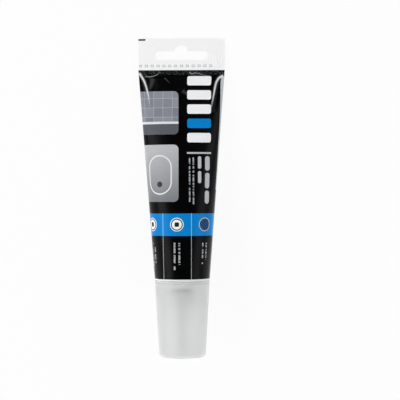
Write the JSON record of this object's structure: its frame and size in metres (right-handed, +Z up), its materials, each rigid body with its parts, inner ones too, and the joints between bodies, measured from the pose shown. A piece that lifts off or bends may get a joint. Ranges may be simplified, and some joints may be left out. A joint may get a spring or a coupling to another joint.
{
  "type": "sealant squeeze tube",
  "caption": "Filled squeeze tube of joint sealant lying on its back, with a flat slotted hang tail, a screw-on nozzle and a tall frosted push-on cap.",
  "frame": {"origin": "centre of the bounding box's bottom, on the floor that the tube lies on", "axes": "+Y along the tube towards its hang tail, +Z up out of the printed front, +X across the tail"},
  "size_m": [0.055, 0.2024, 0.0375],
  "materials": {
    "printed_film": "satin printed laminate",
    "white_plastic": "moulded satin",
    "natural_plastic": "moulded translucent",
    "frosted_plastic": "moulded frosted translucent"
  },
  "bodies": {
    "tube": {"filled_sleeve": "printed_film", "shoulder": "white_plastic"},
    "nozzle": {"nozzle": "natural_plastic"},
    "cap": {"cap": "frosted_plastic"}
  },
  "joints": [
    {"name": "cap_pull", "type": "slide", "parent": "tube", "child": "cap", "axis": [0, -0.9938, 0.1112], "range_m": [0, 0.05]},
    {"name": "nozzle_turn", "type": "hinge", "parent": "tube", "child": "nozzle", "pos_m": [0, -0.07016, 0.01962], "axis": [0, -0.9938, 0.1112], "range_deg": [0, 1080]}
  ]
}
